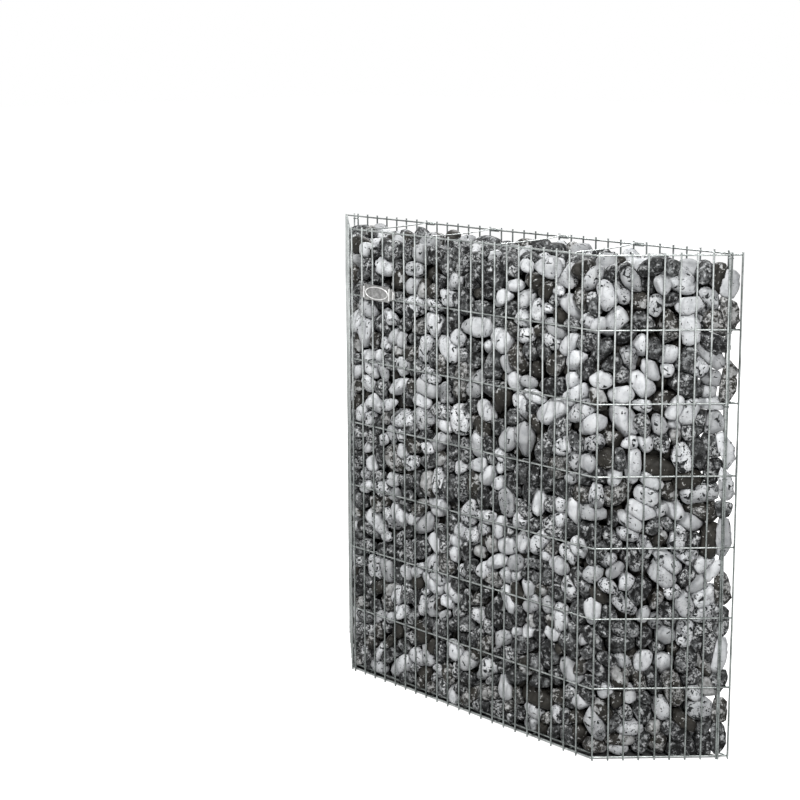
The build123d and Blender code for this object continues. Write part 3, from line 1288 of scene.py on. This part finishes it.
    def pad(self, owners: np.ndarray, normals: np.ndarray, reaches: np.ndarray) -> None:
        """Sort the flats by stone, nearest first, without those that no stone can reach.

        Args:
            owners: The stone of each flat.
            normals: Each flat's outward direction.
            reaches: Its distance from the stone's centre.
        """
        count, most = len(self.places), self.flats_kept
        near = reaches < self.flat_reach
        owners, normals, reaches = owners[near], normals[near], reaches[near]
        order = np.lexsort((reaches, owners))
        owners, normals, reaches = owners[order], normals[order], reaches[order]
        rank = np.arange(len(owners)) - np.searchsorted(owners, np.arange(count))[owners]
        kept = rank < most
        self.flat_ways = np.zeros((count, most, 3))
        # A place that holds no flat counts as a metre away, which bounds nothing.
        self.flat_reaches = np.full((count, most), 1.0)
        self.flat_ways[owners[kept], rank[kept]] = normals[kept]
        self.flat_reaches[owners[kept], rank[kept]] = np.maximum(reaches[kept], self.flat_least)

    def template(self, subdivisions: int) -> Tuple[np.ndarray, np.ndarray]:
        """The ball that every stone is pressed from.

        Args:
            subdivisions: How fine the ball is.

        Returns:
            Its unit vertices and its triangles.
        """
        ball = bmesh.new()
        bmesh.ops.create_icosphere(ball, subdivisions=subdivisions, radius=1.0)
        verts = np.array([v.co[:] for v in ball.verts])
        faces = np.array([[v.index for v in f.verts] for f in ball.faces])
        ball.free()
        return verts, faces

    def press(self, ball: np.ndarray, chosen: np.ndarray) -> np.ndarray:
        """Press balls into stones: each way out, a stone ends softly at the nearest flat or its own body.

        Args:
            ball: The unit vertices.
            chosen: The stones to press.

        Returns:
            The vertices of each chosen stone.
        """
        out = np.zeros((len(chosen), len(ball), 3))
        for row, i in enumerate(chosen):
            draw = np.random.default_rng(self.seed + int(i))
            power = self.pin_power if i < len(self.pins) else draw.uniform(*self.powers)
            facing = np.clip(ball @ self.flat_ways[i].T, 1e-3, None)
            terms = (self.flat_reaches[i] / facing) ** -power
            along = np.clip(ball @ self.ways[i], -1.0, 1.0)
            across = np.sqrt(1.0 - along**2)
            long = self.halves[i] + self.bulk[i] * draw.uniform(*self.body_growth)
            girth = self.bulk[i] * draw.uniform(*self.body_growth)
            wide = girth * (1.0 + along * draw.uniform(-1.0, 1.0) * self.taper)
            body = 1.0 / np.sqrt((along / long) ** 2 + (across / wide) ** 2)
            radius = (terms.sum(axis=1) + body**-power) ** (-1.0 / power)
            wave = ball @ draw.normal(size=(3, 3)) * self.wave_turns + draw.uniform(0.0, self.wave_shift, 3)
            lump = self.lump_middle + self.lump_height * np.sin(wave).mean(axis=1)
            out[row] = self.places[i] + ball * (radius * lump)[:, None]
        for wall in self.plan.walls(self.wall_gap):
            out += np.clip(wall[3] - out @ wall[:3], 0.0, None)[..., None] * wall[:3]
        return out

    def spread_out(self, draw: np.ndarray, seen: np.ndarray) -> np.ndarray:
        """Even out a draw, so that stones of one kind don't crowd together.

        Args:
            draw: A value from 0 to 1 for each stone.
            seen: Which stones lie near the surface.

        Returns:
            The values, each moved away from its neighbours' and spread over 0 to 1 again.
        """
        count = len(draw)
        first, second = self.neighbours(self.crowd_reach)
        near = seen[first] & seen[second]
        owner = np.concatenate([first[near], second[near]])
        other = np.concatenate([second[near], first[near]])
        number = np.maximum(np.bincount(owner, minlength=count), 1)
        for _ in range(self.crowd_passes):
            around = np.bincount(owner, draw[other] - 0.5, count) / number
            draw = draw - self.crowd_push * around
        rank = np.zeros(count)
        rank[seen] = np.argsort(np.argsort(draw[seen])) / seen.sum()
        return rank

    def kinds(self, seen: np.ndarray) -> np.ndarray:
        """Draw which kind each stone is: darker low down and at the top left, paler up the right end.

        Args:
            seen: Which stones lie near the surface.

        Returns:
            The number of each stone's kind.
        """
        x, z = self.places[:, 0], self.places[:, 2]
        low = fade(z, *self.low_fade)
        top_left = fade(z, *self.top_fade) * fade(x, *self.left_fade)
        right_end = fade(x, *self.right_fade) * (1.0 - low)
        darker = self.low_darker * low + self.top_left_darker * top_left - self.right_paler * right_end
        draw = self.spread_out(self.chance.uniform(0.0, 1.0, len(self.places)), seen)
        pale = draw < self.pale_share - darker
        mottled = ~pale & (draw < self.pale_share + self.mottled_share - darker * self.mottled_follows)
        return np.where(pale, 0, np.where(mottled, 1, 2))

    def build(self) -> None:
        """Build all stones, in a few pieces, in the place of the fill's node."""
        self.scatter()
        self.settle()
        self.flats()
        walls = self.plan.walls(0.0)
        depth = (self.places @ walls[:, :3].T - walls[:, 3]).min(axis=1)
        seen = (depth < self.seen_depth * self.radii) | (self.places[:, 2] > self.top - self.seen_top)
        # Every stone deep in the fill is a dark one: painted shade in the gaps between the stones in front.
        kinds = np.where(seen, self.kinds(seen), len(StoneKind) - 1)
        LOG.info("stones: %d, of which %d near the surface", len(self.places), int(seen.sum()))
        left = self.places[:, 0] < 0.0
        groups = {
            "pale_stones_left": (kinds == 0) & seen & left,
            "pale_stones_right": (kinds == 0) & seen & ~left,
            "mottled_stones_left": (kinds == 1) & seen & left,
            "mottled_stones_right": (kinds == 1) & seen & ~left,
            "dark_stones": (kinds == 2) & seen,
            "inner_stones": ~seen,
        }
        fine, coarse = self.template(3), self.template(2)
        for number, (name, picked) in enumerate(groups.items()):
            ball, faces = coarse if name == "inner_stones" else fine
            chosen = np.flatnonzero(picked)
            replaced = ["stone_fill"] if number == 0 else []
            marks = self.chance.uniform(0.0, 1.0, (len(chosen), 4))
            # The inner stones get fewer light flecks and fewer pale or broken sides, so they read darker:
            # painted shade in the gaps.
            if name == "inner_stones":
                marks[:, (0, 3)] *= self.inner_painted_shade
            self.piece(name, self.press(ball, chosen), faces, kinds[chosen], marks, replaced)

    def piece(
        self,
        name: str,
        verts: np.ndarray,
        faces: np.ndarray,
        kinds: np.ndarray,
        marks: np.ndarray,
        replaced: Sequence[str],
    ) -> None:
        """Join stones into one piece.

        Args:
            name: The piece's name.
            verts: The vertices of each stone.
            faces: The ball's triangles.
            kinds: Each stone's kind.
            marks: Each stone's own four random values, for its material.
            replaced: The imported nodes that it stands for.
        """
        count, size = len(verts), verts.shape[1]
        data = bpy.data.meshes.new(name)
        joined = (faces[None] + (np.arange(count) * size)[:, None, None]).reshape(-1, 3)
        data.from_pydata(verts.reshape(-1, 3), [], joined.tolist())
        used = sorted(set(kinds.tolist()))
        for kind in used:
            data.materials.append(self.finishes[list(StoneKind)[kind]])
        index = np.array([used.index(kind) for kind in kinds])
        data.polygons.foreach_set("material_index", np.repeat(index, len(faces)))
        data.polygons.foreach_set("use_smooth", np.ones(count * len(faces), dtype=bool))
        layer = data.attributes.new("stone", "FLOAT_COLOR", "POINT")
        layer.data.foreach_set("color", np.repeat(marks, size, axis=0).ravel())
        data.update()
        dress_piece(data, replaced)


# The plate


def soften(part: bmesh.types.BMesh, edges: Sequence[bmesh.types.BMEdge], offset: float, steps: int) -> None:
    """Round some edges of a block, in a number of steps."""
    bmesh.ops.bevel(
        part, geom=edges, offset=offset, segments=steps, profile=0.5, affect="EDGES", material=-1
    )


@dataclass
class Plate:
    """The bare plate: a flanged sheet with end ribs, an oval rim and a clip at each end."""

    plan: Plan
    worn: Material
    dull: Material
    # The sheet.
    length: float = 0.076
    height: float = 0.033
    thickness: float = 0.0016
    corner: float = 0.004
    # The oval rim and the ribs at both ends.
    oval_length: float = 0.066
    oval_height: float = 0.028
    rim: float = 0.0022
    rim_rise: float = 0.0014
    rim_steps: int = 56
    rib: float = 0.003
    rib_rise: float = 0.002
    # The flange behind the sheet, and where the plate hangs.
    flange_height: float = 0.024
    flange_share: float = 0.9
    row_index: int = 6
    above_row: float = 0.011
    first: int = 1
    span: int = 3
    # The clips, and the edges of every block.
    clip_wall: float = 0.0016
    clip_height: float = 0.017
    edge: float = 0.0004
    edge_steps: int = 2
    corner_steps: int = 6
    lip_rise: float = 0.0007

    def __post_init__(self) -> None:
        """Work out where the plate sits."""
        plan = self.plan
        self.middle = plan.front_xs[self.first] + plan.pitch * self.span / 2
        self.level = plan.rows[self.row_index] + self.above_row
        self.back = -plan.depth / 2 - plan.wire / 2 - plan.seat
        self.face = self.back - self.thickness
        self.reach = plan.pitch * self.span / 2 + plan.wire / 2 + plan.seat + self.clip_wall

    def block(
        self, mesh: bmesh.types.BMesh, across: float, size: Point, back: float, corner: float = 0.0
    ) -> None:
        """Add a block with soft edges.

        Args:
            mesh: Where it goes.
            across: How far its middle is from the plate's, along the wall.
            size: Its sides along X, Y and Z.
            back: Y of its back.
            corner: The radius of its corners, seen from the front.
        """
        part = bmesh.new()
        centre = (self.middle + across, back - size[1] / 2, self.level)
        place = Matrix.Translation(centre) @ Matrix.Diagonal((*size, 1.0))
        bmesh.ops.create_cube(part, size=1.0, matrix=place)
        if corner:
            deep = [e for e in part.edges if abs((e.verts[0].co - e.verts[1].co).y) > size[1] / 2]
            soften(part, deep, corner, self.corner_steps)
        front = [e for e in part.edges if all(v.co.y < centre[1] for v in e.verts)]
        soften(part, front, self.edge, self.edge_steps)
        merge(part, mesh)

    def build(self) -> None:
        """Build sheet, raised parts and clips."""
        plan = self.plan
        sheet = bmesh.new()
        self.block(sheet, 0.0, (self.length, self.thickness, self.height), self.back, self.corner)
        flange = (2 * self.reach, self.thickness * self.flange_share, self.flange_height)
        self.block(sheet, 0.0, flange, self.back)
        make_piece("plate_sheet", sheet, self.dull, ["name_plate"])
        raised = bmesh.new()
        rib = (self.rib, self.rib_rise, self.height - 2 * self.corner)
        for side in (-1, 1):
            self.block(raised, side * (self.length - self.rib) / 2, rib, self.face)
        lip = (2 * self.clip_wall, self.lip_rise, self.clip_height)
        self.block(raised, self.reach - self.clip_wall, lip, self.face)
        make_piece("plate_ribs", raised, self.worn, [])
        rim = WireWork("plate_rim", self.worn, "plate_metal")
        half_x, half_z = (self.oval_length - self.rim) / 2, (self.oval_height - self.rim) / 2
        depth = self.face - self.rim_rise + self.rim / 2
        oval = []
        for i in range(self.rim_steps):
            turn = 2 * math.pi * i / self.rim_steps
            x, z = self.middle + half_x * math.cos(turn), self.level + half_z * math.sin(turn)
            oval.append(Vector((x, depth, z)))
        rim.draw(oval, self.rim / 2, closed=True)
        rim.piece()
        clips = bmesh.new()
        jaw = (self.clip_wall, plan.wire, self.clip_height)
        apart = (plan.wire + self.clip_wall + 2 * plan.seat) / 2
        for side in (-1, 1):
            for edge in (-1, 1):
                across = side * plan.pitch * self.span / 2 + edge * apart
                self.block(clips, across, jaw, self.back + plan.wire + plan.seat)
        make_piece("plate_clip_jaws", clips, self.worn, ["plate_clips"])


# The studio


@dataclass(frozen=True)
class Lamp:
    """A soft square lamp: where it hangs, its side in metres and its power in watts."""

    name: str
    place: Point
    size: float
    power: float

    def hang(self, aim: Point) -> None:
        """Hang it.

        Args:
            aim: The point that it faces.
        """
        data = bpy.data.lights.new(self.name, "AREA")
        data.size = self.size
        data.energy = self.power
        ahead = Vector(aim) - Vector(self.place)
        turn = ahead.to_track_quat("-Z", "Y").to_matrix().to_4x4()
        holder = bpy.data.objects.new(self.name, data)
        holder.matrix_world = Matrix.Translation(self.place) @ turn
        bpy.context.scene.collection.objects.link(holder)


@dataclass(frozen=True)
class Studio:
    """Pale floor, soft lamps and the camera, from the photograph's viewing angle."""

    plan: Plan
    # The camera.
    photo_pixels: float = 800.0
    focal_pixels: float = 1505.0
    sensor: float = 36.0
    yaw: float = -42.82
    pitch: float = 8.75
    roll: float = -0.24
    stand: Point = (1.932, -2.370, 1.376)
    shift_y: float = -0.15
    view_end: float = 60.0
    # The floor: how white it reads near the wall and from where to where that fades to full white; its
    # colour, and its darker colour below the wall, a painted shadow.
    floor_size: float = 30.0
    floor_lift: float = 0.86
    floor_near: float = 0.9
    floor_far: float = 3.0
    floor_shade: float = 0.5
    floor_edge: float = 0.002
    floor_under: float = 0.0075
    covered_painted_shadow: float = 0.08
    # The light.
    sky: float = 0.034
    sky_colour: Colour = (0.97, 0.985, 1.0)
    aim: Point = (0.0, 0.0, 0.5)
    lamps: Tuple[Lamp, ...] = (
        Lamp("key", (-0.3, -2.6, 3.2), size=0.8, power=104.0),
        Lamp("side", (2.6, -2.2, 2.5), size=0.8, power=120.0),
        Lamp("rear", (-1.2, 2.6, 3.2), size=1.6, power=190.0),
    )

    def camera(self) -> None:
        """Place the camera."""
        data = bpy.data.cameras.new("camera")
        data.sensor_width = self.sensor
        data.lens = data.sensor_width * self.focal_pixels / self.photo_pixels
        data.shift_y = self.shift_y
        data.clip_end = self.view_end
        yaw, pitch, roll = (math.radians(a) for a in (self.yaw, self.pitch, self.roll))
        ahead = Vector((math.sin(yaw) * math.cos(pitch), math.cos(yaw) * math.cos(pitch), -math.sin(pitch)))
        level = Vector((math.cos(yaw), -math.sin(yaw), 0.0))
        above = level.cross(ahead)
        right = math.cos(roll) * level + math.sin(roll) * above
        up = right.cross(ahead)
        turn = Matrix((right, up, -ahead)).transposed().to_4x4()
        holder = bpy.data.objects.new("camera", data)
        holder.matrix_world = Matrix.Translation(self.stand) @ turn
        bpy.context.scene.collection.objects.link(holder)
        bpy.context.scene.camera = holder

    def floor(self) -> None:
        """Lay a pale floor that reads white to the camera and keeps the wall's shadow, painted darker below
        the wall.
        """
        mesh = bmesh.new()
        bmesh.ops.create_grid(mesh, x_segments=1, y_segments=1, size=self.floor_size)
        data = bpy.data.meshes.new("floor")
        mesh.to_mesh(data)
        mesh.free()
        shader = Shader("pale_floor")
        open_floor = self.outside(shader)
        away = shader.add("ShaderNodeVectorMath", {0: shader.place()}, operation="LENGTH").outputs["Value"]
        far = shader.step(away, self.floor_near, self.floor_far)
        lift = shader.scaled(far, 1.0 - self.floor_lift, self.floor_lift)
        clear = shader.maths("MULTIPLY", lift, open_floor)
        # Below the wall the floor's colour is dark: a painted shadow, over the real one.
        shader.coat(
            {
                "Base Color": shader.blend(open_floor, grey(self.covered_painted_shadow), grey(self.floor_shade)),
                "Roughness": 1.0,
                "Specular IOR Level": 0.0,
                "Emission Color": WHITE,
                "Emission Strength": shader.maths("MULTIPLY", shader.shown(), clear),
            }
        )
        data.materials.append(shader.material)
        ground = bpy.data.objects.new("floor", data)
        bpy.context.scene.collection.objects.link(ground)

    def outside(self, shader: Shader) -> Socket:
        """Tell the open floor from the floor below the wall, which stays in the wall's shadow.

        Args:
            shader: The floor's material.

        Returns:
            0 below the wall, 1 outside it and just inside its outline, where floor shows under the mesh.
        """
        plan = self.plan
        places = shader.add("ShaderNodeSeparateXYZ", {"Vector": shader.place()}).outputs
        past_side = shader.maths("SUBTRACT", shader.maths("ABSOLUTE", places["Y"]), plan.depth / 2)
        slant = shader.maths("MULTIPLY", places["Y"], plan.run / plan.depth)
        middle_reach = (plan.front_length + plan.run) / 2
        past_middle = shader.maths("SUBTRACT", shader.maths("ABSOLUTE", places["X"]), middle_reach)
        past_slant = shader.maths("SUBTRACT", past_middle, slant)
        past_end = shader.maths("MULTIPLY", past_slant, plan.depth / plan.mitre)
        past = shader.maths("MAXIMUM", past_side, past_end)
        return shader.step(past, -self.floor_under - self.floor_edge, self.floor_edge - self.floor_under)

    def world(self) -> None:
        """Surround the wall with soft white light, pure white where the camera sees it."""
        world = bpy.data.worlds.new("studio")
        bpy.context.scene.world = world
        world.use_nodes = True
        nodes = Nodes(world.node_tree)
        nodes.tree.nodes.clear()
        soft = nodes.add("ShaderNodeBackground", {"Color": self.sky_colour, "Strength": self.sky})
        white = nodes.add("ShaderNodeBackground", {"Color": WHITE, "Strength": 1.0})
        sides = {"Fac": nodes.shown(), 1: soft.outputs["Background"], 2: white.outputs["Background"]}
        mix = nodes.add("ShaderNodeMixShader", sides)
        nodes.add("ShaderNodeOutputWorld", {"Surface": mix.outputs["Shader"]})

    def build(self) -> None:
        """Set up camera, floor, world and lamps."""
        bpy.context.scene.view_settings.view_transform = "Standard"
        self.camera()
        self.floor()
        self.world()
        for lamp in self.lamps:
            lamp.hang(self.aim)


def main() -> None:
    """Build the dressed wall and its studio."""
    logging.basicConfig(level=logging.INFO, format="%(message)s")
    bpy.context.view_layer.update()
    plan = Plan()
    Studio(plan).build()
    mesh_wire = GalvanisedFinish("galvanised_mesh").build()
    # The ties and the back wires take less of the painted sky reflection towards the top, so the back wires
    # read darker, as painted shade.
    tie_wire = GalvanisedFinish("galvanised_tie", reflection_fade_low=0.7, reflection_fade_high=1.4).build()
    back_wire = GalvanisedFinish("galvanised_back", reflection_fade_low=0.8, reflection_fade_high=1.6).build()
    # The level wires have one colour at every height: lighter than the uprights' low colour, a painted sky
    # reflection on wires that face up, and without the uprights' painted brightening towards the top.
    light, dull = (0.36, 0.38, 0.372), (0.17, 0.183, 0.179)
    level_wire = GalvanisedFinish("galvanised_level", light, dull, sky_reflection_light=light, sky_reflection_dull=dull).build()
    basket = Basket(plan, mesh_wire, level_wire, back_wire)
    basket.wrap_sheet()
    basket.back_sheet()
    basket.base_sheet()
    Spacers(plan, tie_wire).build()
    JointRings(plan, tie_wire).build()
    worn = PlateFinish("worn_plate", clean=(0.82, 0.82, 0.81), stained=(0.55, 0.55, 0.54)).build()
    stained = PlateFinish("dull_plate", clean=(0.30, 0.30, 0.295), stained=(0.13, 0.13, 0.128)).build()
    Plate(plan, worn, stained).build()
    finishes = {kind: StoneFinish(kind).build() for kind in StoneKind}
    StoneFill(plan, finishes).build()


if __name__ == "__main__":
    main()
